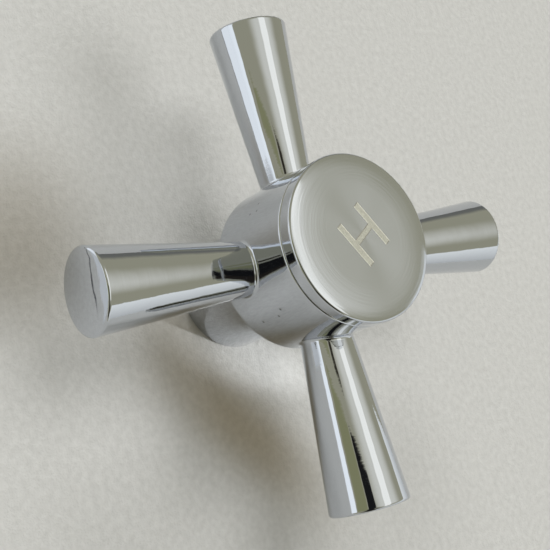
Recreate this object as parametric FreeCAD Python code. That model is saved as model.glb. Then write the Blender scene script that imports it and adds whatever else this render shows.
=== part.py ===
import FreeCAD, Part
import math
import os

from FreeCAD import Vector

# Replacement cross-head tap handle.
# Sizes are in millimetres and angles in degrees.
# The origin is the centre of the stem's lower rim, and +Z runs up the turning axis to the cap.
# The four arms point along -Y, +X, +Y and -X.

# Hub
hub_diameter = 25.0
hub_height = 15.65
hub_lower_edge_chamfer = 0.2
hub_floor_thickness = 3.0

# Stem under the hub, which covers the gland of the valve
stem_diameter = 17.9
stem_length = 16.8
stem_edge_chamfer = 0.3
stem_bore_diameter = 15.0
stem_mouth_chamfer = 0.4

# Arms, measured from the hub's wall outwards
arm_count = 4
arm_length = 24.7
arm_root_diameter = 8.05
arm_tip_diameter = 12.25
arm_end_crown = 0.3
arm_end_edge_round = 0.4
arm_root_fillet = 0.5
arm_root_depth = 3.0
plain_wall_under_arm = 0.05

# Index cap, which closes the hub at the parting line
parting_chamfer = 0.2
cap_wall_height = 1.9
cap_edge_round = 0.5
cap_shoulder_radius = 7.3
cap_shoulder_slope = 20.0
cap_crown_radius = 36.0
cap_crown_slope = 5.0
cap_bore_diameter = 17.5
cap_bore_depth = 4.95
cap_bore_lead = 0.3
cap_plug_side_clearance = 0.1
cap_plug_end_clearance = 0.6
cap_plug_lead = 0.4

# Ring that grips the cap's plug in the hub
ring_section = 1.5
ring_fit = 0.01
ring_groove_side_clearance = 0.2

# Toothed insert, which fits the valve's spindle
insert_diameter = 11.0
insert_across_flats = 9.6
insert_length = 11.0
insert_fit = 0.03
spline_teeth = 20
spline_root_diameter = 8.3
spline_tip_diameter = 7.4
spline_root_share = 0.3
spline_tip_share = 0.3
spline_mouth_chamfer = 0.5

# Fixing screw
screw_diameter = 4.0
screw_length = 8.0
screw_tip_chamfer = 0.5
screw_hole_clearance = 0.25
screw_head_diameter = 8.0
screw_head_height = 2.6
screw_head_round = 1.0
screw_head_side_clearance = 1.5
screw_head_top_clearance = 0.8
screw_cross_length = 4.4
screw_cross_width = 1.0
screw_cross_depth = 1.5

# Places that follow from the sizes above
UP = Vector(0, 0, 1)
ORIGIN = Vector(0, 0, 0)
FULL_TURN = 360.0
QUARTER_TURN = 90.0
SAME_PLACE = 0.005
PLACES_ON_EDGE = 5

hub_radius = hub_diameter / 2
stem_radius = stem_diameter / 2
stem_bore_radius = stem_bore_diameter / 2
cap_bore_radius = cap_bore_diameter / 2
cap_plug_radius = cap_bore_radius - cap_plug_side_clearance
screw_hole_radius = screw_diameter / 2 + screw_hole_clearance
arm_root_radius = arm_root_diameter / 2
arm_tip_radius = arm_tip_diameter / 2
arm_taper_angle = math.atan2(arm_tip_radius - arm_root_radius, arm_length)
root_fillet_reach = arm_root_fillet / math.tan((math.pi / 2 - arm_taper_angle) / 2)

hub_bottom_z = stem_length
parting_z = hub_bottom_z + hub_height
wall_under_arm = hub_lower_edge_chamfer + plain_wall_under_arm + root_fillet_reach
arm_axis_z = hub_bottom_z + wall_under_arm + arm_root_radius
screw_seat_z = parting_z - cap_bore_depth
insert_top_z = screw_seat_z - hub_floor_thickness
insert_mouth_z = insert_top_z - insert_length
cap_plug_bottom_z = screw_seat_z + cap_plug_end_clearance
ring_z = (cap_plug_bottom_z + parting_z) / 2


def on_section(radius, height):
    """A point of a turned outline, by its distance from the axis and its height."""
    return Vector(radius, 0, height)


def towards(start, end, distance):
    """The point at a distance from start on the way to end."""
    return start + (end - start).normalize() * distance


def outline(corners):
    """The edges of a closed outline, whose corners are (radius, height, rounding)."""
    points = [on_section(radius, height) for radius, height, rounding in corners]
    count = len(points)
    entries = []
    exits = []
    arcs = []
    for index, corner in enumerate(points):
        before = points[index - 1]
        after = points[(index + 1) % count]
        rounding = corners[index][2]
        half_angle = (before - corner).getAngle(after - corner) / 2
        reach = rounding / math.tan(half_angle)
        entry = towards(corner, before, reach)
        leave = towards(corner, after, reach)
        entries.append(entry)
        exits.append(leave)
        if rounding:
            bisector = towards(corner, (entry + leave) / 2, rounding / math.sin(half_angle) - rounding)
            arcs.append(Part.Arc(entry, bisector, leave).toShape())
        else:
            arcs.append(None)
    edges = []
    for index in range(count):
        edges.append(Part.makeLine(exits[index - 1], entries[index]))
        if arcs[index]:
            edges.append(arcs[index])
    return edges


def turned(edges):
    """The solid that an outline sweeps out round the handle's axis."""
    return Part.Face(Part.Wire(edges)).revolve(ORIGIN, UP, FULL_TURN)


def double_flat_bar(diameter, across_flats, bottom, length):
    """A round bar with two flats, standing on the height called bottom."""
    bar = Part.makeCylinder(diameter / 2, length, Vector(0, 0, bottom))
    slab = Part.makeBox(across_flats, diameter, length, Vector(-across_flats / 2, -diameter / 2, bottom))
    return bar.common(slab)


def hub_with_stem():
    """Hub and stem, with the cap's bore above the floor and the stem's bore below it."""
    solid = turned(outline([
        (stem_bore_radius + stem_mouth_chamfer, 0, 0),
        (stem_radius - stem_edge_chamfer, 0, 0),
        (stem_radius, stem_edge_chamfer, 0),
        (stem_radius, hub_bottom_z, 0),
        (hub_radius - hub_lower_edge_chamfer, hub_bottom_z, 0),
        (hub_radius, hub_bottom_z + hub_lower_edge_chamfer, 0),
        (hub_radius, parting_z - parting_chamfer, 0),
        (hub_radius - parting_chamfer, parting_z, 0),
        (cap_bore_radius + cap_bore_lead, parting_z, 0),
        (cap_bore_radius, parting_z - cap_bore_lead, 0),
        (cap_bore_radius, screw_seat_z, 0),
        (screw_hole_radius, screw_seat_z, 0),
        (screw_hole_radius, insert_mouth_z, 0),
        (stem_bore_radius, insert_mouth_z, 0),
        (stem_bore_radius, stem_mouth_chamfer, 0),
    ]))
    # The seam of the turned faces lies between two arms.
    solid.rotate(ORIGIN, UP, FULL_TURN / arm_count / 2)
    return solid


def arm_along_x():
    """One tapered arm with a softly crowned end, starting inside the hub's wall."""
    taper = (arm_tip_radius - arm_root_radius) / arm_length
    start_x = hub_radius - arm_root_depth
    start_radius = arm_root_radius - taper * arm_root_depth
    edge_x = hub_radius + arm_length
    crown_radius = (arm_tip_radius ** 2 + arm_end_crown ** 2) / (2 * arm_end_crown)
    crown_centre_x = edge_x + arm_end_crown - crown_radius
    half_sweep = math.asin(arm_tip_radius / crown_radius) / 2
    inner_end = Vector(start_x, 0, 0)
    root = Vector(start_x, 0, start_radius)
    edge = Vector(edge_x, 0, arm_tip_radius)
    crown_middle = Vector(crown_centre_x + crown_radius * math.cos(half_sweep), 0,
                          crown_radius * math.sin(half_sweep))
    crown_top = Vector(edge_x + arm_end_crown, 0, 0)
    section = Part.Wire([
        Part.makeLine(inner_end, root),
        Part.makeLine(root, edge),
        Part.Arc(edge, crown_middle, crown_top).toShape(),
        Part.makeLine(crown_top, inner_end),
    ])
    solid = Part.Face(section).revolve(ORIGIN, Vector(1, 0, 0), FULL_TURN)
    end_edges = [rim for rim in solid.Edges if is_circle_of_radius(rim, arm_tip_radius)]
    solid = solid.makeFillet(arm_end_edge_round, end_edges)
    solid.translate(Vector(0, 0, arm_axis_z))
    return solid


def is_circle_of_radius(edge, radius):
    """Whether an edge is a circle of the given radius."""
    if edge.Degenerated or not isinstance(edge.Curve, Part.Circle):
        return False
    return math.isclose(edge.Curve.Radius, radius, abs_tol=SAME_PLACE)


def is_arm_root(edge):
    """Whether an edge is the curve in which an arm leaves the hub's wall."""
    if edge.Degenerated or isinstance(edge.Curve, (Part.Line, Part.Circle)):
        return False
    return all(math.isclose(math.hypot(place.x, place.y), hub_radius, abs_tol=SAME_PLACE)
               for place in edge.discretize(PLACES_ON_EDGE))


def handle_body():
    """The casting: hub, stem and arms in one piece, with the keyed seat for the insert."""
    body = hub_with_stem()
    for index in range(arm_count):
        spoke = arm_along_x()
        spoke.rotate(ORIGIN, UP, index * FULL_TURN / arm_count)
        body = body.fuse(spoke)
    body = body.removeSplitter()
    roots = [edge for edge in body.Edges if is_arm_root(edge)]
    body = body.makeFillet(arm_root_fillet, roots)
    seat = double_flat_bar(insert_diameter + 2 * insert_fit, insert_across_flats + 2 * insert_fit,
                           insert_mouth_z, insert_length)
    return body.cut(seat)


def slope_normal(slope):
    """The outward direction of a turned face that falls outwards by a slope."""
    angle = math.radians(slope)
    return on_section(math.sin(angle), math.cos(angle))


def sloped_arc(centre, radius, steep, shallow):
    """The arc of a turned outline from a steep slope to a shallow one."""
    start = centre + slope_normal(steep) * radius
    middle = centre + slope_normal((steep + shallow) / 2) * radius
    end = centre + slope_normal(shallow) * radius
    return Part.Arc(start, middle, end).toShape()


def index_cap():
    """The cap: rim as wide as the hub, softly sloped face, and a plug with the ring's groove."""
    groove_radius = cap_bore_radius - ring_section - 2 * ring_fit
    groove_half = ring_section / 2 + ring_groove_side_clearance
    recess_radius = screw_head_diameter / 2 + screw_head_side_clearance
    recess_top_z = screw_seat_z + screw_head_height + screw_head_top_clearance
    wall_top_z = parting_z + cap_wall_height

    # The rim's small rounding runs into the sloped shoulder, and that into the face's wide crown.
    edge_centre = on_section(hub_radius - cap_edge_round, wall_top_z)
    shoulder_centre = edge_centre - slope_normal(cap_shoulder_slope) * (cap_shoulder_radius - cap_edge_round)
    crown_centre = shoulder_centre - slope_normal(cap_crown_slope) * (cap_crown_radius - cap_shoulder_radius)
    rim = sloped_arc(edge_centre, cap_edge_round, QUARTER_TURN, cap_shoulder_slope)
    shoulder = sloped_arc(shoulder_centre, cap_shoulder_radius, cap_shoulder_slope, cap_crown_slope)
    crown = sloped_arc(crown_centre, cap_crown_radius, cap_crown_slope, 0)
    crown_end = crown_centre + UP * cap_crown_radius
    face_centre = on_section(0, crown_end.z)

    underside = Part.makePolygon([
        face_centre,
        on_section(0, recess_top_z),
        on_section(recess_radius, recess_top_z),
        on_section(recess_radius, cap_plug_bottom_z),
        on_section(cap_plug_radius - cap_plug_lead, cap_plug_bottom_z),
        on_section(cap_plug_radius, cap_plug_bottom_z + cap_plug_lead),
        on_section(cap_plug_radius, ring_z - groove_half),
        on_section(groove_radius, ring_z - groove_half),
        on_section(groove_radius, ring_z + groove_half),
        on_section(cap_plug_radius, ring_z + groove_half),
        on_section(cap_plug_radius, parting_z),
        on_section(hub_radius - parting_chamfer, parting_z),
        on_section(hub_radius, parting_z + parting_chamfer),
        on_section(hub_radius, wall_top_z),
    ]).Edges
    face = Part.makeLine(crown_end, face_centre)
    cap = turned(underside + [rim, shoulder, crown, face])
    cap.rotate(ORIGIN, UP, FULL_TURN / arm_count / 2)
    return cap


def cap_o_ring():
    """The rubber ring as it sits, between the plug's groove and the hub's bore."""
    section_radius = ring_section / 2
    return Part.makeTorus(cap_bore_radius - ring_fit - section_radius, section_radius, Vector(0, 0, ring_z))


def spline_outline(height):
    """The toothed outline of the spindle's socket at a height."""
    pitch = 2 * math.pi / spline_teeth
    root_radius = spline_root_diameter / 2
    tip_radius = spline_tip_diameter / 2
    root_half = spline_root_share * pitch / 2
    tip_half = spline_tip_share * pitch / 2
    points = []
    for tooth in range(spline_teeth):
        root_angle = tooth * pitch
        tip_angle = root_angle + pitch / 2
        for radius, angle in (
            (root_radius, root_angle - root_half),
            (root_radius, root_angle + root_half),
            (tip_radius, tip_angle - tip_half),
            (tip_radius, tip_angle + tip_half),
        ):
            points.append(Vector(radius * math.cos(angle), radius * math.sin(angle), height))
    points.append(points[0])
    return Part.makePolygon(points)


def spline_insert():
    """The toothed bush, keyed by two flats, with a lead-in at its mouth."""
    bush = double_flat_bar(insert_diameter, insert_across_flats, insert_mouth_z, insert_length)
    socket = Part.Face(spline_outline(insert_mouth_z)).extrude(UP * insert_length)
    mouth_radius = spline_root_diameter / 2
    lead_in = Part.makeCone(mouth_radius + spline_mouth_chamfer, mouth_radius - spline_mouth_chamfer,
                            2 * spline_mouth_chamfer, Vector(0, 0, insert_mouth_z))
    return bush.cut(socket).cut(lead_in)


def fixing_screw():
    """The pan-head screw on its seat, with a cross recess in its head."""
    radius = screw_diameter / 2
    head_top_z = screw_seat_z + screw_head_height
    tip_z = screw_seat_z - screw_length
    screw = turned(outline([
        (0, tip_z, 0),
        (radius - screw_tip_chamfer, tip_z, 0),
        (radius, tip_z + screw_tip_chamfer, 0),
        (radius, screw_seat_z, 0),
        (screw_head_diameter / 2, screw_seat_z, 0),
        (screw_head_diameter / 2, head_top_z, screw_head_round),
        (0, head_top_z, 0),
    ]))
    corner = Vector(-screw_cross_length / 2, -screw_cross_width / 2, head_top_z - screw_cross_depth)
    slot = Part.makeBox(screw_cross_length, screw_cross_width, screw_cross_depth, corner)
    crossed = slot.copy()
    crossed.rotate(ORIGIN, UP, QUARTER_TURN)
    return screw.cut(slot.fuse(crossed))


pieces = {
    "handle_body": handle_body,
    "index_cap": index_cap,
    "cap_o_ring": cap_o_ring,
    "spline_insert": spline_insert,
    "fixing_screw": fixing_screw,
}

os.makedirs("parts", exist_ok=True)
for name, build in pieces.items():
    shape = build()
    shape.exportStep(os.path.join("parts", name + ".step"))
    print(name, "valid", shape.isValid(), "solids", len(shape.Solids), "volume", round(shape.Volume, 2))
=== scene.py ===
import math

import bmesh
import bpy
from mathutils import Matrix, Vector


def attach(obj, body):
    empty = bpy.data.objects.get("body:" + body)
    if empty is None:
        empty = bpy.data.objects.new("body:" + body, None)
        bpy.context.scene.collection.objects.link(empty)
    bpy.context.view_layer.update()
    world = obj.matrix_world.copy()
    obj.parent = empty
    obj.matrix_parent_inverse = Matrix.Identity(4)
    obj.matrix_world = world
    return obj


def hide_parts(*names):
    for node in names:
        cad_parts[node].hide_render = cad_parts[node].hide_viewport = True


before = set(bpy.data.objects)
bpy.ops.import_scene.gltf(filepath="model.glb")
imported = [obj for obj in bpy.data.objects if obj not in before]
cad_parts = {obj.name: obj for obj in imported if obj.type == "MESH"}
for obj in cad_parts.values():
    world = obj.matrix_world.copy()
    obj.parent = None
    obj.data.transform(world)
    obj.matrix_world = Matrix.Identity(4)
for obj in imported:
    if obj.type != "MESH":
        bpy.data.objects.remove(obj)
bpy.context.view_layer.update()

# Chromed cross-head tap handle.
# It stands on its stem's rim, with +Z up the turning axis and the arms along -Y, +X, +Y and -X.

# Sizes of the handle, in metres
MM = 0.001
MICRON = 0.000001
QUARTER = math.pi / 2

hub_radius = 12.5 * MM
hub_bottom_z = 16.8 * MM
hub_lower_edge_round = 0.2 * MM
parting_z = 32.45 * MM
hub_lip_round = 0.38 * MM
cap_lip_round = 0.3 * MM

stem_radius = 8.95 * MM
stem_edge_round = 0.3 * MM
stem_bore_radius = 7.5 * MM
stem_mouth_chamfer = 0.4 * MM

arm_count = 4
arm_axis_z = 21.62 * MM
arm_root_radius = 4.025 * MM
arm_tip_radius = 6.125 * MM
arm_length = 24.7 * MM
arm_end_crown = 0.3 * MM
arm_end_edge_round = 0.4 * MM
arm_root_fillet = 0.5 * MM

insert_mouth_z = 13.5 * MM
insert_top_z = 24.5 * MM
insert_seat_radius = 5.53 * MM
insert_seat_half_flats = 4.83 * MM
screw_hole_radius = 2.25 * MM
screw_seat_z = 27.5 * MM

cap_wall_height = 1.9 * MM
cap_edge_round = 0.5 * MM
cap_shoulder_radius = 7.3 * MM
cap_shoulder_slope = math.radians(20)
cap_crown_radius = 36.0 * MM
cap_crown_slope = math.radians(5)
cap_bore_radius = 8.75 * MM
cap_bore_lead = 0.3 * MM
cap_plug_radius = 8.65 * MM
cap_plug_bottom_z = 28.1 * MM
cap_plug_lead = 0.4 * MM
cap_recess_radius = 5.5 * MM
cap_recess_top_z = 30.9 * MM
ring_groove_radius = 7.23 * MM
ring_groove_low_z = 29.325 * MM
ring_groove_high_z = 31.225 * MM

mark_centre = Vector((-0.1, 0, 0)) * MM
mark_turn = math.radians(34.5)
mark_stroke_length = 7.4 * MM
mark_stroke_spacing = 4.9 * MM
mark_stroke_width = 1.06 * MM
mark_bar_width = 0.96 * MM
mark_outline = 0.11 * MM
mark_depth = 0.02 * MM
mark_proud = 0.008 * MM

# Fineness of the chromed meshes
points_across_wall = 56
points_up_wall = 40
crown_rows = 8
end_edge_rows = 6
arm_rows = 20
fillet_rows = 12
wall_rows = 16
lower_edge_rows = 4
side_first_step = 0.004
wall_first_step = 0.01
step_growth = 1.6
turned_steps = 256
face_rings = 6
crown_rings = 10
shoulder_rings = 12
edge_rings = 10
lip_rings = 8
MERGE_DISTANCE = 1 * MICRON
SHARP_ANGLE = math.radians(28)

# Places that follow from the sizes above
taper = (arm_tip_radius - arm_root_radius) / arm_length
taper_slant = math.hypot(1, taper)
quarter_arc = hub_radius * QUARTER / 2
wall_low = hub_bottom_z + hub_lower_edge_round - arm_axis_z
wall_high = parting_z - hub_lip_round - arm_axis_z
stroke_inner = (mark_stroke_spacing - mark_stroke_width) / 2
stroke_outer = stroke_inner + mark_stroke_width
half_bar = mark_bar_width / 2


def select_nothing():
    """Leaves edit mode and deselects every object."""
    if bpy.context.object and bpy.context.object.mode != "OBJECT":
        bpy.ops.object.mode_set(mode="OBJECT")
    bpy.ops.object.select_all(action="DESELECT")


def make_active(piece):
    """Selects one piece alone and makes it the active object."""
    select_nothing()
    piece.select_set(True)
    bpy.context.view_layer.objects.active = piece


def select_edges(piece, wanted):
    """Selects the edges in edit mode that pass a test."""
    shape = bmesh.from_edit_mesh(piece.data)
    for item in (*shape.verts, *shape.edges, *shape.faces):
        item.select = False
    for edge in shape.edges:
        if wanted(edge):
            edge.select_set(True)
    bmesh.update_edit_mesh(piece.data)


def edge_middle(edge):
    """The middle of an edge."""
    return (edge.verts[0].co + edge.verts[1].co) / 2


# Casting: hub, stem and arms

def arm_point(distance, radius, angle):
    """A point beside the axis of the arm along +X."""
    return Vector((distance, radius * math.cos(angle), arm_axis_z + radius * math.sin(angle)))


def arm_normal(angle):
    """The outward direction of the arm's conical side."""
    return Vector((-taper, math.cos(angle), math.sin(angle))) / taper_slant


def wall_point(arc, height):
    """A point of the hub's wall, by its arc from the arm's middle and its height above the arm's axis."""
    turn = arc / hub_radius
    return Vector((hub_radius * math.cos(turn), hub_radius * math.sin(turn), arm_axis_z + height))


def ring_angles():
    """Angles round the arm's axis, with a ray through each corner of the arm's quarter of the wall."""
    low = math.atan2(wall_low, quarter_arc)
    high = math.atan2(wall_high, quarter_arc)
    spans = [
        (low, high, points_up_wall),
        (high, math.pi - high, points_across_wall),
        (math.pi - high, math.pi - low, points_up_wall),
        (math.pi - low, 2 * math.pi + low, points_across_wall),
    ]
    return [start + (end - start) * step / count for start, end, count in spans for step in range(count)]


def quarter_border(angle):
    """Where a ray from the arm's middle leaves the arm's quarter of the wall, as arc and height."""
    across = math.cos(angle)
    upward = math.sin(angle)
    reach = quarter_arc / max(abs(across), MICRON)
    limit = wall_high if upward > 0 else wall_low
    if abs(upward) > MICRON:
        reach = min(reach, limit / upward)
    return reach * across, reach * upward


def larger_root(square, half_linear, constant):
    """The larger solution of a quadratic equation."""
    return (-half_linear + math.sqrt(half_linear ** 2 - square * constant)) / square


def fillet_centre(angle):
    """Centre of the ball that rolls in the corner between arm and wall."""
    offset = arm_root_radius - taper * hub_radius + arm_root_fillet * taper_slant
    share = math.cos(angle) ** 2
    distance = larger_root(1 + taper ** 2 * share, offset * taper * share,
                           share * offset ** 2 - (hub_radius + arm_root_fillet) ** 2)
    return arm_point(distance, offset + taper * distance, angle)


def end_edge():
    """Centre of the end's edge rounding and of the end's crown, as distances and radii."""
    crown_radius = (arm_tip_radius ** 2 + arm_end_crown ** 2) / (2 * arm_end_crown)
    crown_centre = hub_radius + arm_length + arm_end_crown - crown_radius
    offset = arm_root_radius - taper * hub_radius - arm_end_edge_round * taper_slant
    inner = crown_radius - arm_end_edge_round
    distance = larger_root(1 + taper ** 2, offset * taper - crown_centre,
                           crown_centre ** 2 + offset ** 2 - inner ** 2)
    return distance, offset + taper * distance, crown_centre, crown_radius


def eased(count, first):
    """Shares from 0 to 1 that start with a narrow step and widen evenly."""
    steps = [first]
    for index in range(1, count):
        steps.append(first + (1 - first) * (index / (count - 1)) ** step_growth)
    return steps


def arm_line(angle):
    """Points down one line of the arm: end crown, end edge, side, root fillet and the hub's wall."""
    edge_distance, edge_radius, crown_centre, crown_radius = end_edge()
    crown_reach = math.atan2(edge_radius, edge_distance - crown_centre)
    side_tilt = math.atan2(1, -taper)
    points = []
    for row in range(1, crown_rows + 1):
        tilt = crown_reach * row / crown_rows
        points.append(arm_point(crown_centre + crown_radius * math.cos(tilt),
                                crown_radius * math.sin(tilt), angle))
    for row in range(1, end_edge_rows + 1):
        tilt = crown_reach + (side_tilt - crown_reach) * row / end_edge_rows
        points.append(arm_point(edge_distance + arm_end_edge_round * math.cos(tilt),
                                edge_radius + arm_end_edge_round * math.sin(tilt), angle))
    centre = fillet_centre(angle)
    from_side = -arm_normal(angle)
    from_wall = -Vector((centre.x, centre.y, 0)).normalized()
    tip = points[-1]
    root = centre + arm_root_fillet * from_side
    shares = [share / 2 for share in eased(arm_rows // 2, side_first_step)]
    shares += [1 - share for share in reversed(shares[:-1])] + [1.0]
    points += [tip.lerp(root, share) for share in shares]
    for row in range(1, fillet_rows + 1):
        points.append(centre + arm_root_fillet * from_side.slerp(from_wall, row / fillet_rows))
    arc = hub_radius * math.atan2(centre.y, centre.x)
    height = centre.z - arm_axis_z
    border_arc, border_height = quarter_border(angle)
    for share in eased(wall_rows, wall_first_step):
        points.append(wall_point(arc + (border_arc - arc) * share,
                                 height + (border_height - height) * share))
    return points


def arm_quarter():
    """One arm with its quarter of the hub's wall, as a mesh of rows and lines."""
    lines = [arm_line(angle) for angle in ring_angles()]
    crown_top = Vector((hub_radius + arm_length + arm_end_crown, 0, arm_axis_z))
    row_count = len(lines[0])
    mesh = bpy.data.meshes.new("chrome_casting")
    shape = bmesh.new()
    pole = shape.verts.new(crown_top)
    grid = [[shape.verts.new(point) for point in line] for line in lines]
    for index, line in enumerate(grid):
        beside = grid[(index + 1) % len(grid)]
        shape.faces.new((pole, line[0], beside[0]))
        for row in range(row_count - 1):
            shape.faces.new((line[row], line[row + 1], beside[row + 1], beside[row]))
    shape.to_mesh(mesh)
    shape.free()
    piece = bpy.data.objects.new("chrome_casting", mesh)
    bpy.context.scene.collection.objects.link(piece)
    return piece


def select_borders(piece, *heights):
    """Selects the open edges of a mesh in edit mode that lie at the given heights."""
    def is_border(edge):
        middle_z = edge_middle(edge).z
        return edge.is_boundary and any(abs(middle_z - height) < MERGE_DISTANCE for height in heights)
    select_edges(piece, is_border)


def extrude_ring(start, end):
    """Extrudes the selected ring from one (radius, height) to the next."""
    scale = end[0] / start[0]
    bpy.ops.mesh.extrude_edges_move()
    bpy.ops.transform.resize(value=(scale, scale, 1), center_override=(0, 0, start[1]))
    bpy.ops.transform.translate(value=(0, 0, end[1] - start[1]))


def extrude_rings(piece, start, places):
    """Extrudes the open ring at start through a list of (radius, height) places."""
    select_borders(piece, start[1])
    for place in places:
        extrude_ring(start, place)
        start = place


def edge_rounding(centre, radius, start, end, rows):
    """Places on a rounding, from one angle to another, without its first one."""
    places = []
    for row in range(1, rows + 1):
        angle = start + (end - start) * row / rows
        places.append((centre[0] + radius * math.cos(angle), centre[1] + radius * math.sin(angle)))
    return places


def rings_below():
    """Places down from the hub's wall: lower edge, stem, stem's bore and the insert's round seat."""
    lower_centre = (hub_radius - hub_lower_edge_round, hub_bottom_z + hub_lower_edge_round)
    rim_centre = (stem_radius - stem_edge_round, stem_edge_round)
    places = edge_rounding(lower_centre, hub_lower_edge_round, 0, -QUARTER, lower_edge_rows)
    places += [(stem_radius, hub_bottom_z), (stem_radius, stem_edge_round)]
    places += edge_rounding(rim_centre, stem_edge_round, 0, -QUARTER, lower_edge_rows)
    places += [
        (stem_bore_radius + stem_mouth_chamfer, 0),
        (stem_bore_radius, stem_mouth_chamfer),
        (stem_bore_radius, insert_mouth_z),
        (insert_seat_radius, insert_mouth_z),
        (insert_seat_radius, insert_top_z),
        (screw_hole_radius, insert_top_z),
    ]
    return places


def rings_above():
    """Places up from the hub's wall: the lip at the parting line, the cap's bore and the screw's seat."""
    lip_centre = (hub_radius - hub_lip_round, parting_z - hub_lip_round)
    places = edge_rounding(lip_centre, hub_lip_round, 0, QUARTER, lip_rings)
    places += [
        (cap_bore_radius + cap_bore_lead, parting_z),
        (cap_bore_radius, parting_z - cap_bore_lead),
        (cap_bore_radius, screw_seat_z),
        (screw_hole_radius, screw_seat_z),
    ]
    return places


def flatten_insert_seat(piece):
    """Gives the insert's round seat its two flats, in edit mode."""
    shape = bmesh.from_edit_mesh(piece.data)
    for vertex in shape.verts:
        if abs(vertex.co.xy.length - insert_seat_radius) < MERGE_DISTANCE:
            vertex.co.x = max(-insert_seat_half_flats, min(insert_seat_half_flats, vertex.co.x))
    bmesh.update_edit_mesh(piece.data)


def chrome_casting():
    """The whole casting, closed inside by the stem's bore, the insert's seat and the cap's bore."""
    select_nothing()
    piece = arm_quarter()
    make_active(piece)
    bpy.ops.object.mode_set(mode="EDIT")
    bpy.ops.mesh.select_mode(type="VERT")
    bpy.ops.mesh.select_all(action="SELECT")
    bpy.ops.mesh.spin(steps=arm_count - 1, dupli=True, angle=QUARTER * (arm_count - 1),
                      center=(0, 0, 0), axis=(0, 0, 1))
    bpy.ops.mesh.select_all(action="SELECT")
    bpy.ops.mesh.remove_doubles(threshold=MERGE_DISTANCE)
    bpy.ops.mesh.select_mode(type="EDGE")
    extrude_rings(piece, (hub_radius, hub_bottom_z + hub_lower_edge_round), rings_below())
    flatten_insert_seat(piece)
    extrude_rings(piece, (hub_radius, parting_z - hub_lip_round), rings_above())
    select_borders(piece, insert_top_z, screw_seat_z)
    bpy.ops.mesh.bridge_edge_loops()
    bpy.ops.mesh.select_all(action="SELECT")
    bpy.ops.mesh.normals_make_consistent(inside=False)
    bpy.ops.object.mode_set(mode="OBJECT")
    bpy.ops.object.shade_smooth_by_angle(angle=SHARP_ANGLE)
    return piece


# Index cap and its mark

def cap_profile():
    """Half of the cap's section, from the middle of its face down to the middle of its recess."""
    wall_top_z = parting_z + cap_wall_height
    edge_centre = Vector((hub_radius - cap_edge_round, wall_top_z))
    shoulder_normal = Vector((math.sin(cap_shoulder_slope), math.cos(cap_shoulder_slope)))
    shoulder_centre = edge_centre - shoulder_normal * (cap_shoulder_radius - cap_edge_round)
    crown_normal = Vector((math.sin(cap_crown_slope), math.cos(cap_crown_slope)))
    crown_centre = shoulder_centre - crown_normal * (cap_crown_radius - cap_shoulder_radius)
    face_z = crown_centre.y + cap_crown_radius
    lip_centre = (hub_radius - cap_lip_round, parting_z + cap_lip_round)
    shoulder_start = QUARTER - cap_crown_slope
    shoulder_end = QUARTER - cap_shoulder_slope
    places = [(0, face_z)]
    places += [(crown_centre.x * ring / face_rings, face_z) for ring in range(1, face_rings + 1)]
    places += edge_rounding(crown_centre, cap_crown_radius, QUARTER, shoulder_start, crown_rings)
    places += edge_rounding(shoulder_centre, cap_shoulder_radius, shoulder_start, shoulder_end,
                            shoulder_rings)
    places += edge_rounding(edge_centre, cap_edge_round, shoulder_end, 0, edge_rings)
    places += [(hub_radius, parting_z + cap_lip_round)]
    places += edge_rounding(lip_centre, cap_lip_round, 0, -QUARTER, lip_rings)
    places += [
        (cap_plug_radius, parting_z),
        (cap_plug_radius, ring_groove_high_z),
        (ring_groove_radius, ring_groove_high_z),
        (ring_groove_radius, ring_groove_low_z),
        (cap_plug_radius, ring_groove_low_z),
        (cap_plug_radius, cap_plug_bottom_z + cap_plug_lead),
        (cap_plug_radius - cap_plug_lead, cap_plug_bottom_z),
        (cap_recess_radius, cap_plug_bottom_z),
        (cap_recess_radius, cap_recess_top_z),
        (0, cap_recess_top_z),
    ]
    return places


def turned_piece(name, places):
    """A closed piece turned round the handle's axis from half of its section."""
    select_nothing()
    bpy.ops.mesh.primitive_plane_add(size=MM, location=(0, 0, 0))
    piece = bpy.context.object
    piece.name = name
    piece.data.name = name
    bpy.ops.object.mode_set(mode="EDIT")
    bpy.ops.mesh.select_mode(type="VERT")
    bpy.ops.mesh.merge(type="CENTER")
    here = Vector((0, 0, 0))
    for index, (radius, height) in enumerate(places):
        there = Vector((radius, 0, height))
        if index:
            bpy.ops.mesh.extrude_vertices_move()
        bpy.ops.transform.translate(value=there - here)
        here = there
    bpy.ops.mesh.select_all(action="SELECT")
    bpy.ops.mesh.spin(steps=turned_steps, angle=2 * math.pi, center=(0, 0, 0), axis=(0, 0, 1))
    bpy.ops.mesh.select_all(action="SELECT")
    bpy.ops.mesh.remove_doubles(threshold=MERGE_DISTANCE)
    bpy.ops.mesh.normals_make_consistent(inside=False)
    bpy.ops.object.mode_set(mode="OBJECT")
    bpy.ops.object.shade_smooth_by_angle(angle=SHARP_ANGLE)
    return piece


def is_bar_end(edge, side):
    """Whether an edge closes the letter's bar on one side."""
    return edge_middle(edge).y * side > stroke_inner - MERGE_DISTANCE


def is_stroke_end(edge, side, end):
    """Whether an edge closes the short stroke on one side, at one of its two ends."""
    middle = edge_middle(edge)
    in_stroke = stroke_inner + MERGE_DISTANCE < middle.y * side < stroke_outer - MERGE_DISTANCE
    return in_stroke and middle.x * end > half_bar - MERGE_DISTANCE


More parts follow.
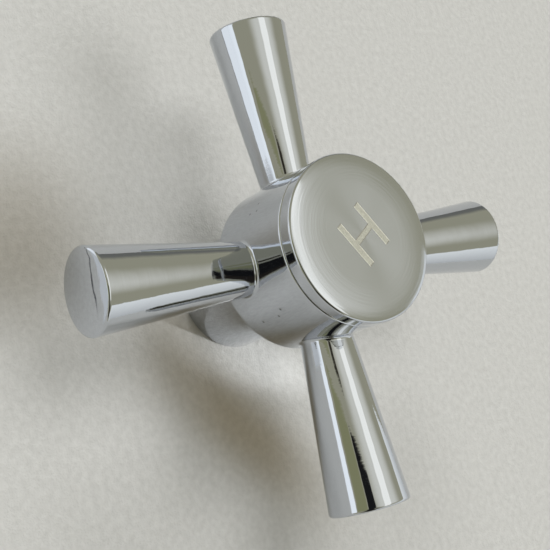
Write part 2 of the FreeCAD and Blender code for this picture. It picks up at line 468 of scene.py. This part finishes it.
def flat_letter(name):
    """The letter's flat outline: a bar that is extruded into two strokes. It stays in edit mode."""
    select_nothing()
    bpy.ops.mesh.primitive_plane_add(size=1, location=(0, 0, 0))
    piece = bpy.context.object
    piece.name = name
    piece.data.name = name
    bpy.ops.object.mode_set(mode="EDIT")
    bpy.ops.mesh.select_mode(type="EDGE")
    bpy.ops.transform.resize(value=(mark_bar_width, 2 * stroke_inner, 1))
    for side in (1, -1):
        select_edges(piece, lambda edge: is_bar_end(edge, side))
        bpy.ops.mesh.extrude_edges_move()
        bpy.ops.transform.translate(value=(0, side * mark_stroke_width, 0))
    for side in (1, -1):
        for end in (1, -1):
            select_edges(piece, lambda edge: is_stroke_end(edge, side, end))
            bpy.ops.mesh.extrude_edges_move()
            bpy.ops.transform.translate(value=(end * (mark_stroke_length / 2 - half_bar), 0, 0))
    return piece


def hot_mark(face_z):
    """The plain letter in the cap's face, with a painted highlight along its strokes and a painted shade
    elsewhere.
    """
    piece = flat_letter("hot_mark")
    bpy.ops.mesh.select_all(action="SELECT")
    bpy.ops.mesh.extrude_region_move()
    bpy.ops.transform.translate(value=(0, 0, mark_depth))
    bpy.ops.mesh.inset(thickness=mark_outline, use_boundary=True)
    shape = bmesh.from_edit_mesh(piece.data)
    for face in shape.faces:
        across = abs(face.calc_center_median().y)
        beside_stroke = min(abs(across - stroke_inner), abs(across - stroke_outer)) < mark_outline
        # Long sides of the strokes get a painted highlight, the other edges a painted shade.
        if not face.select:
            face.material_index = highlight_edge_finish if beside_stroke else shade_edge_finish
    bmesh.update_edit_mesh(piece.data)
    bpy.ops.mesh.select_all(action="SELECT")
    bpy.ops.mesh.normals_make_consistent(inside=False)
    bpy.ops.object.mode_set(mode="OBJECT")
    piece.data.transform(Matrix.Rotation(mark_turn, 4, "Z"))
    piece.data.transform(Matrix.Translation(mark_centre + Vector((0, 0, face_z + mark_proud - mark_depth))))
    return piece


# Materials

chrome_colour = (0.555, 0.58, 0.625)

# Plate of the casting
cast_wave_scale = 220
cast_wave_depth = 45 * MICRON
smear_scale = 700
smear_roughness = (0.02, 0.06)
polish_line_scale = 2600
polish_line_depth = 2 * MICRON
pit_colour = (0.14, 0.14, 0.14)
pit_radius = 0.3 * MM
pit_depth = 60 * MICRON
# Each pit in the hub's wall, by its angle from +X in degrees and its height in millimetres
cast_pits = [(-132.4, 25.6), (-126.0, 25.9), (-125.9, 24.2), (-55.1, 25.8), (-51.0, 20.5), (-51.0, 24.4)]

# Plate of the cap, satin on its face and bright at its edge
satin_edge = hub_radius - 0.9 * MM
bright_edge = hub_radius - 0.2 * MM
satin_roughness = 0.2
bright_roughness = 0.03
satin_anisotropy = 0.7
sector_scale = 0.8
sector_slope = 0.035
streak_scale = 1.0
turning_scale = 2200
turning_depth = 28 * MICRON
turning_start = 4.5 * MM
turning_end = 11 * MM

# Letter in the cap's face
mark_grain_scale = 7000
mark_grain_depth = 4 * MICRON
mark_roughness = 0.55
# The darkest and the palest grain of each finish on the mark
# Edge finishes: painted shade at the ends and the bar, painted highlight along the strokes' long sides.
mark_finishes = {
    "etched_mark": ((0.34, 0.34, 0.285), (0.58, 0.575, 0.49)),
    "painted_shade_edge": ((0.20, 0.19, 0.15), (0.32, 0.31, 0.26)),
    "painted_highlight_edge": ((0.58, 0.58, 0.49), (0.82, 0.82, 0.70)),
}
shade_edge_finish = list(mark_finishes).index("painted_shade_edge")
highlight_edge_finish = list(mark_finishes).index("painted_highlight_edge")

# Cloth
cloth_dark = (0.58, 0.58, 0.565)
cloth_pale = (0.655, 0.655, 0.64)
cloth_roughness = 0.9
fluff_size = 1.1 * MM
fluff_depth = 80 * MICRON
fibre_size = 0.35 * MM
fibre_depth = 60 * MICRON

# Most of a noise lies between these two values.
noise_low = 0.3
noise_high = 0.7
plain_roughness_spread = 0.2


def new_material(name):
    """A node material with its node tree and its shader."""
    material = bpy.data.materials.new(name)
    material.use_nodes = True
    tree = material.node_tree
    shader = tree.nodes["Principled BSDF"]
    return material, tree, shader


def feed(tree, socket, value):
    """Gives a node's input a value: another node's output, or a constant."""
    if isinstance(value, bpy.types.NodeSocket):
        tree.links.new(value, socket)
    else:
        socket.default_value = value


def add_node(tree, kind, **settings):
    """Adds a node, sets its properties and feeds its inputs."""
    node = tree.nodes.new(kind)
    for key, value in settings.items():
        if key in node.inputs:
            feed(tree, node.inputs[key], value)
        else:
            setattr(node, key, value)
    return node


def combined(tree, operation, first, second):
    """The result of a math operation on two values."""
    node = add_node(tree, "ShaderNodeMath", operation=operation)
    feed(tree, node.inputs[0], first)
    feed(tree, node.inputs[1], second)
    return node.outputs["Value"]


def vector_math(tree, operation, first, second=(0, 0, 0)):
    """The node of a vector operation, which may have a vector or a value as its result."""
    node = add_node(tree, "ShaderNodeVectorMath", operation=operation)
    feed(tree, node.inputs[0], first)
    feed(tree, node.inputs[1], second)
    return node


def ramp(tree, value, start, end, low=0.0, high=1.0, interpolation="LINEAR"):
    """Maps a value from the span between start and end to the span between low and high."""
    node = add_node(tree, "ShaderNodeMapRange", interpolation_type=interpolation, Value=value)
    feed(tree, node.inputs["From Min"], start)
    feed(tree, node.inputs["From Max"], end)
    feed(tree, node.inputs["To Min"], low)
    feed(tree, node.inputs["To Max"], high)
    return node.outputs["Result"]


def noise(tree, place, scale, detail):
    """Noise on a place, with a feature size of 1 / scale."""
    return add_node(tree, "ShaderNodeTexNoise", Vector=place, Scale=scale, Detail=detail).outputs["Fac"]


def spread(tree, value, low, high):
    """Maps a noise value to a range."""
    return ramp(tree, value, noise_low, noise_high, low, high)


def tint(tree, share, first, second):
    """A colour between two others, by a share from 0 to 1."""
    node = add_node(tree, "ShaderNodeMix", data_type="RGBA", A=(*first, 1), B=(*second, 1), Factor=share)
    return node.outputs["Result"]


def bump(tree, height, depth, before=None):
    """A bump of a depth in metres, on top of an earlier one."""
    node = add_node(tree, "ShaderNodeBump", Strength=1.0, Distance=depth, Height=height)
    if before:
        tree.links.new(before, node.inputs["Normal"])
    return node.outputs["Normal"]


def object_place(tree):
    """The place on a piece in its own coordinates."""
    return add_node(tree, "ShaderNodeTexCoord").outputs["Object"]


def from_axis(tree, place):
    """The level way from the handle's axis to a place."""
    return vector_math(tree, "MULTIPLY", place, (1, 1, 0)).outputs["Vector"]


def bare_chrome(name):
    """Chrome plate before its finish, with its node tree and its shader."""
    material, tree, shader = new_material(name)
    feed(tree, shader.inputs["Metallic"], 1.0)
    feed(tree, shader.inputs["Base Color"], (*chrome_colour, 1))
    return material, tree, shader


def pit_distance(tree, place):
    """The distance from a place to the nearest pit in the hub's wall."""
    nearest = None
    for turn, height in cast_pits:
        around = math.radians(turn)
        middle = (hub_radius * math.cos(around), hub_radius * math.sin(around), height * MM)
        distance = vector_math(tree, "DISTANCE", place, middle).outputs["Value"]
        nearest = combined(tree, "MINIMUM", nearest, distance) if nearest else distance
    return nearest


def cast_chrome(name):
    """The casting's plate: nearly a mirror, with slow waves, lines across the arms and a few pits."""
    material, tree, shader = bare_chrome(name)
    place = object_place(tree)
    smears = noise(tree, place, smear_scale, detail=4)
    feed(tree, shader.inputs["Roughness"], spread(tree, smears, *smear_roughness))
    waves = noise(tree, place, cast_wave_scale, detail=2)
    normal = bump(tree, waves, cast_wave_depth)
    reach = vector_math(tree, "LENGTH", from_axis(tree, place)).outputs["Value"]
    lines = add_node(tree, "ShaderNodeTexNoise", noise_dimensions="1D", W=reach,
                     Scale=polish_line_scale, Detail=3)
    normal = bump(tree, lines.outputs["Fac"], polish_line_depth, normal)
    sound = ramp(tree, pit_distance(tree, place), 0, pit_radius, interpolation="SMOOTHSTEP")
    normal = bump(tree, sound, pit_depth, normal)
    feed(tree, shader.inputs["Normal"], normal)
    feed(tree, shader.inputs["Base Color"], tint(tree, sound, pit_colour, chrome_colour))
    return material


def turned_chrome(name):
    """The cap's plate: a mirror at its side, and satin with fine turning lines on its face."""
    material, tree, shader = bare_chrome(name)
    level_way = from_axis(tree, object_place(tree))
    outward = vector_math(tree, "NORMALIZE", level_way).outputs["Vector"]
    radius = vector_math(tree, "LENGTH", level_way).outputs["Value"]
    feed(tree, shader.inputs["Tangent"], outward)
    feed(tree, shader.inputs["Anisotropic"], satin_anisotropy)
    feed(tree, shader.inputs["Roughness"],
         ramp(tree, radius, satin_edge, bright_edge, satin_roughness, bright_roughness, "SMOOTHSTEP"))
    sectors = noise(tree, outward, sector_scale, detail=0)
    normal = bump(tree, combined(tree, "MULTIPLY", sectors, radius), sector_slope)
    upward = add_node(tree, "ShaderNodeCombineXYZ", Z=combined(tree, "MULTIPLY", radius, turning_scale))
    spiral = vector_math(tree, "ADD", outward, upward.outputs["Vector"]).outputs["Vector"]
    streaks = noise(tree, spiral, streak_scale, detail=2)
    outer_part = ramp(tree, radius, turning_start, turning_end, interpolation="SMOOTHSTEP")
    normal = bump(tree, combined(tree, "MULTIPLY", streaks, outer_part), turning_depth, normal)
    feed(tree, shader.inputs["Normal"], normal)
    return material


def plain_stuff(name, colour, roughness, metallic, grain_scale, grain_depth):
    """A plain finish with a fine grain."""
    material, tree, shader = new_material(name)
    feed(tree, shader.inputs["Base Color"], (*colour, 1))
    feed(tree, shader.inputs["Metallic"], metallic)
    grain = noise(tree, object_place(tree), grain_scale, detail=3)
    smoothest = roughness * (1 - plain_roughness_spread)
    roughest = roughness * (1 + plain_roughness_spread)
    feed(tree, shader.inputs["Roughness"], spread(tree, grain, smoothest, roughest))
    feed(tree, shader.inputs["Normal"], bump(tree, grain, grain_depth))
    return material


def etched_mark(name, dark, pale):
    """A frosted, grainy surface on the letter, whose edge bands are painted highlight and painted shade."""
    material, tree, shader = new_material(name)
    grains = noise(tree, object_place(tree), mark_grain_scale, detail=3)
    feed(tree, shader.inputs["Base Color"], tint(tree, spread(tree, grains, 0, 1), dark, pale))
    feed(tree, shader.inputs["Normal"], bump(tree, grains, mark_grain_depth))
    feed(tree, shader.inputs["Roughness"], mark_roughness)
    return material


def pale_cloth(name):
    """The cloth: fluffy in the large, with fine fibres."""
    material, tree, shader = new_material(name)
    place = object_place(tree)
    fluff = noise(tree, place, 1 / fluff_size, detail=3)
    fibres = noise(tree, place, 1 / fibre_size, detail=2)
    feed(tree, shader.inputs["Base Color"], tint(tree, spread(tree, fluff, 0, 1), cloth_dark, cloth_pale))
    feed(tree, shader.inputs["Normal"], bump(tree, fluff, fluff_depth, bump(tree, fibres, fibre_depth)))
    feed(tree, shader.inputs["Roughness"], cloth_roughness)
    return material


def soft_span(tree, value, soft):
    """1 in the middle of a panel's span, falling softly to 0 at both ends."""
    half_span = 0.5
    inward = combined(tree, "PINGPONG", value, half_span)
    return ramp(tree, inward, 0, max(soft, MICRON), interpolation="SMOOTHSTEP")


def soft_glow(name, colour, strength, soft, foot, density):
    """A glow that is clear beyond its soft sides, with another share of its strength at its foot."""
    material = bpy.data.materials.new(name)
    material.use_nodes = True
    tree = material.node_tree
    tree.nodes.clear()
    plan = add_node(tree, "ShaderNodeTexCoord").outputs["UV"]
    sides = add_node(tree, "ShaderNodeSeparateXYZ", Vector=plan).outputs
    soft_across = soft_span(tree, sides["X"], soft[0])
    soft_upward = soft_span(tree, sides["Y"], soft[1])
    mask = combined(tree, "MULTIPLY", soft_across, soft_upward)
    level = ramp(tree, sides["Y"], 0, 1, strength * foot, strength)
    glow = add_node(tree, "ShaderNodeEmission", Color=(*colour, 1), Strength=level)
    clear = add_node(tree, "ShaderNodeBsdfTransparent")
    blend = add_node(tree, "ShaderNodeMixShader", Fac=combined(tree, "MULTIPLY", mask, density))
    tree.links.new(clear.outputs["BSDF"], blend.inputs[1])
    tree.links.new(glow.outputs["Emission"], blend.inputs[2])
    add_node(tree, "ShaderNodeOutputMaterial", Surface=blend.outputs["Shader"])
    return material


# Stage: cloth, panels, lamps, room and camera

floor_half = 12.0

# Nets that dim the cloth
net_colour = (1.0, 0.7, 0.2)
net_strength = 0.2
net_soft = (0.45, 0.45)

# Light that the chrome throws onto the cloth
glint_colour = (0.95, 0.97, 1.0)
glint_blend = 1.0
glint_size = 2 * MM

# Room
wall_colour = (0.43, 0.415, 0.305)
dim_colour = (0.29, 0.285, 0.245)
window_colour = (0.95, 0.99, 1.0)
olive_colour = (0.31, 0.31, 0.17)

# Camera, fitted to the photograph
camera_place = Vector((21.521, -101.828, 144.231)) * MM
camera_azimuth = math.radians(15.69)
camera_elevation = math.radians(50.27)
camera_roll = math.radians(63.46)
camera_lens = 69.9
camera_sensor = 36
camera_shift_x = -0.0034
camera_shift_y = -0.0923


def cloth_floor():
    """The pale cloth that the handle stands on."""
    select_nothing()
    bpy.ops.mesh.primitive_plane_add(size=2 * floor_half, location=(0, 0, 0))
    floor = bpy.context.object
    floor.name = "floor"
    floor.data.materials.append(pale_cloth("pale_cloth"))
    return floor


def soft_panel(name, width, height, colour, strength, soft, foot=1.0, density=1.0):
    """A flat, soft-sided panel on the origin, which only the chrome sees."""
    select_nothing()
    bpy.ops.mesh.primitive_plane_add(size=1, location=(0, 0, 0))
    panel = bpy.context.object
    panel.name = name
    panel.data.transform(Matrix.Diagonal((width, height, 1, 1)))
    panel.data.materials.append(soft_glow(name, colour, strength, soft, foot, density))
    panel.visible_camera = False
    panel.visible_diffuse = False
    panel.visible_shadow = False
    return panel


def facing(place, aim):
    """A placement whose -Z side looks from a place to its aim."""
    return Matrix.Translation(place) @ (place - aim).to_track_quat("Z", "Y").to_matrix().to_4x4()


def card(name, place, width, height, colour, strength, soft, foot=1.0, aside=0.0):
    """A glowing card that faces the handle from a place, and is then moved aside along X."""
    panel = soft_panel(name, width, height, colour, strength, soft, foot)
    panel.data.transform(facing(place, Vector((0, 0, 0))))
    panel.data.transform(Matrix.Translation((aside, 0, 0)))
    return panel


def camera_flag(name, camera, left, right, low, high, behind, colour, soft):
    """A card in the camera's own plane, a little behind it."""
    flag = soft_panel(name, right - left, high - low, colour, 1.0, soft)
    middle = Vector(((left + right) / 2, (low + high) / 2, behind))
    flag.data.transform(camera.matrix_world @ Matrix.Translation(middle))
    return flag


def shade_net(name, middle, length, width, turn, density):
    """A net close over the cloth that dims it softly, and that neither the camera nor the chrome sees."""
    net = soft_panel(name, length, width, net_colour, net_strength, net_soft, density=density)
    net.data.transform(Matrix.Translation(middle) @ Matrix.Rotation(turn, 4, "Z"))
    net.visible_diffuse = True
    net.visible_glossy = False
    net.visible_shadow = True
    return net


def hang_lamp(lamp, place, aim):
    """Hangs a lamp at a place and turns it to its aim. It doesn't show in the chrome."""
    hung = bpy.data.objects.new(lamp.name, lamp)
    hung.matrix_world = facing(place, aim)
    hung.visible_glossy = False
    bpy.context.scene.collection.objects.link(hung)
    return hung


def soft_lamp(name, place, spread_angle, strength):
    """A wide, far, soft lamp that lights the cloth evenly."""
    lamp = bpy.data.lights.new(name, "SUN")
    lamp.angle = spread_angle
    lamp.energy = strength
    return hang_lamp(lamp, place, Vector((0, 0, 0)))


def thrown_light(name, place, aim, cone, strength):
    """A small spot for the patch of light that the chrome throws onto the cloth."""
    lamp = bpy.data.lights.new(name, "SPOT")
    lamp.energy = strength
    lamp.color = glint_colour
    lamp.spot_size = cone
    lamp.spot_blend = glint_blend
    lamp.shadow_soft_size = glint_size
    return hang_lamp(lamp, place, aim)


def towards(azimuth, elevation, distance):
    """A place at a distance from the foot of the handle, by azimuth from the front and elevation."""
    across = math.radians(azimuth)
    lift = math.radians(elevation)
    level = math.cos(lift) * distance
    return Vector((math.sin(across) * level, -math.cos(across) * level, math.sin(lift) * distance))


def room_light():
    """The even light of a plain room: its walls in the chrome, and a dimmer light for the cloth."""
    world = bpy.data.worlds.new("room")
    world.use_nodes = True
    tree = world.node_tree
    tree.nodes.clear()
    walls = add_node(tree, "ShaderNodeBackground", Color=(*wall_colour, 1))
    dim_light = add_node(tree, "ShaderNodeBackground", Color=(*dim_colour, 1))
    path = add_node(tree, "ShaderNodeLightPath").outputs
    mirrored = combined(tree, "MAXIMUM", path["Is Glossy Ray"], path["Is Transmission Ray"])
    seen = combined(tree, "MAXIMUM", path["Is Camera Ray"], mirrored)
    blend = add_node(tree, "ShaderNodeMixShader", Fac=seen)
    tree.links.new(dim_light.outputs["Background"], blend.inputs[1])
    tree.links.new(walls.outputs["Background"], blend.inputs[2])
    add_node(tree, "ShaderNodeOutputWorld", Surface=blend.outputs["Shader"])
    bpy.context.scene.world = world


def photo_camera():
    """The camera at the photograph's viewing angle."""
    level_part = math.cos(camera_elevation)
    back = Vector((math.sin(camera_azimuth) * level_part, -math.cos(camera_azimuth) * level_part,
                   math.sin(camera_elevation)))
    level = Vector((math.cos(camera_azimuth), math.sin(camera_azimuth), 0))
    right = math.cos(camera_roll) * level + math.sin(camera_roll) * back.cross(level)
    turn = Matrix((right, back.cross(right), back)).transposed().to_4x4()
    lens = bpy.data.cameras.new("photo_camera")
    lens.lens = camera_lens
    lens.sensor_width = camera_sensor
    lens.shift_x = camera_shift_x
    lens.shift_y = camera_shift_y
    lens.clip_start = MM
    camera = bpy.data.objects.new("photo_camera", lens)
    camera.matrix_world = Matrix.Translation(camera_place) @ turn
    bpy.context.scene.collection.objects.link(camera)
    bpy.context.scene.camera = camera
    return camera


# The dressed handle

casting = chrome_casting()
casting.data.materials.append(cast_chrome("chrome_plate"))
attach(casting, "root")
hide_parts("handle_body")

cap = turned_piece("chrome_index_cap", cap_profile())
cap.data.materials.append(turned_chrome("cap_chrome"))
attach(cap, "root")
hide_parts("index_cap")

cap_face_z = cap_profile()[0][1]
mark = hot_mark(cap_face_z)
for finish, (dark, pale) in mark_finishes.items():
    mark.data.materials.append(etched_mark(finish, dark, pale))
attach(mark, "root")

inner_finishes = {
    "cap_o_ring": plain_stuff("black_rubber", colour=(0.02, 0.02, 0.02), roughness=0.6, metallic=0.0,
                              grain_scale=3000, grain_depth=4 * MICRON),
    "spline_insert": plain_stuff("brass", colour=(0.72, 0.55, 0.25), roughness=0.28, metallic=1.0,
                                 grain_scale=4000, grain_depth=2 * MICRON),
    "fixing_screw": plain_stuff("plated_steel", colour=(0.62, 0.63, 0.63), roughness=0.3, metallic=1.0,
                                grain_scale=4000, grain_depth=2 * MICRON),
}
for node, finish in inner_finishes.items():
    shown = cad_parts[node]
    shown.data.materials.clear()
    shown.data.materials.append(finish)

# The stage

cloth_floor()
room_light()
camera = photo_camera()

# Light and shade on the cloth
soft_lamp("window_lamp", towards(azimuth=-94, elevation=25, distance=0.9),
          spread_angle=math.radians(28), strength=1.5)
soft_lamp("key_lamp", towards(azimuth=-100, elevation=72, distance=0.9),
          spread_angle=math.radians(30), strength=0.82)
soft_lamp("fill_lamp", towards(azimuth=152, elevation=53, distance=0.9),
          spread_angle=math.radians(28), strength=0.8)
thrown_light("stem_glint", place=Vector((42, 56, 24)) * MM, aim=Vector((10.5, 0.5, 0)) * MM,
             cone=math.radians(11.5), strength=0.22)
shade_net("arm_shade", middle=Vector((22, -3, 3)) * MM, length=60 * MM, width=19 * MM,
          turn=math.radians(42), density=0.68)
shade_net("stem_shade", middle=Vector((4, -12.5, 3)) * MM, length=26 * MM, width=15 * MM,
          turn=math.radians(15), density=0.45)
shade_net("end_shade", middle=Vector((-15, -36, 4)) * MM, length=44 * MM, width=38 * MM,
          turn=0, density=0.5)

# The room as the chrome sees it
card("window_card", towards(azimuth=-10, elevation=8, distance=0.8), width=0.9, height=0.24,
     colour=window_colour, strength=1.34, soft=(0.2, 0.15))
card("ceiling_card", towards(azimuth=-155, elevation=78, distance=0.9), width=1.5, height=1.5,
     colour=(1.0, 0.985, 0.87), strength=0.88, soft=(0.35, 0.35))
card("strip_card", towards(azimuth=180, elevation=79, distance=0.85), width=1.4, height=0.34,
     colour=(1.0, 0.99, 0.91), strength=1.36, soft=(0.1, 0.14))
card("side_card", towards(azimuth=136, elevation=15, distance=0.6), width=1.2, height=0.34,
     colour=(0.98, 1.0, 0.97), strength=1.1, soft=(0.02, 0.03), foot=0.6)
card("dark_side_card", towards(azimuth=-120, elevation=5, distance=0.9), width=1.2, height=0.5,
     colour=(0.19, 0.19, 0.17), strength=1.0, soft=(0.3, 0.4))
card("dim_room_card", towards(azimuth=28, elevation=48, distance=0.9), width=0.7, height=0.9,
     colour=(0.225, 0.22, 0.165), strength=1.0, soft=(0.3, 0.3))
card("dark_front_card", towards(azimuth=66, elevation=28, distance=0.7), width=0.6, height=0.56,
     colour=(0.03, 0.025, 0.02), strength=1.0, soft=(0.2, 0.2))

# Cards close to the end of the arm along -Y
card("low_card", Vector((0, -54, 12)) * MM, width=80 * MM, height=44 * MM,
     colour=window_colour, strength=1.25, soft=(0.03, 0.3), aside=-56 * MM)
card("end_card", Vector((0, -54, 12)) * MM, width=28 * MM, height=44 * MM,
     colour=(0.97, 1.0, 1.0), strength=0.72, soft=(0.1, 0.3), aside=-6 * MM)
card("low_card_foot", Vector((0, -53, 0.7)) * MM, width=96 * MM, height=1.4 * MM,
     colour=(0.1, 0.1, 0.1), strength=1.0, soft=(0.04, 0.3), aside=-46 * MM)

# Flags round the camera, as the chrome sees the one who holds it
camera_flag("dark_flag", camera, left=-12 * MM, right=46 * MM, low=-130 * MM, high=22 * MM,
            behind=4 * MM, colour=(0.015, 0.015, 0.015), soft=(0.04, 0.04))
camera_flag("olive_flag", camera, left=-110 * MM, right=-13 * MM, low=-60 * MM, high=25 * MM,
            behind=6 * MM, colour=olive_colour, soft=(0.1, 0.1))
camera_flag("olive_top_flag", camera, left=-110 * MM, right=-13 * MM, low=36 * MM, high=60 * MM,
            behind=6 * MM, colour=olive_colour, soft=(0.1, 0.3))
camera_flag("dark_top_flag", camera, left=-6 * MM, right=26 * MM, low=36 * MM, high=64 * MM,
            behind=5 * MM, colour=(0.04, 0.035, 0.025), soft=(0.2, 0.3))

bpy.context.scene.view_settings.view_transform = "Standard"
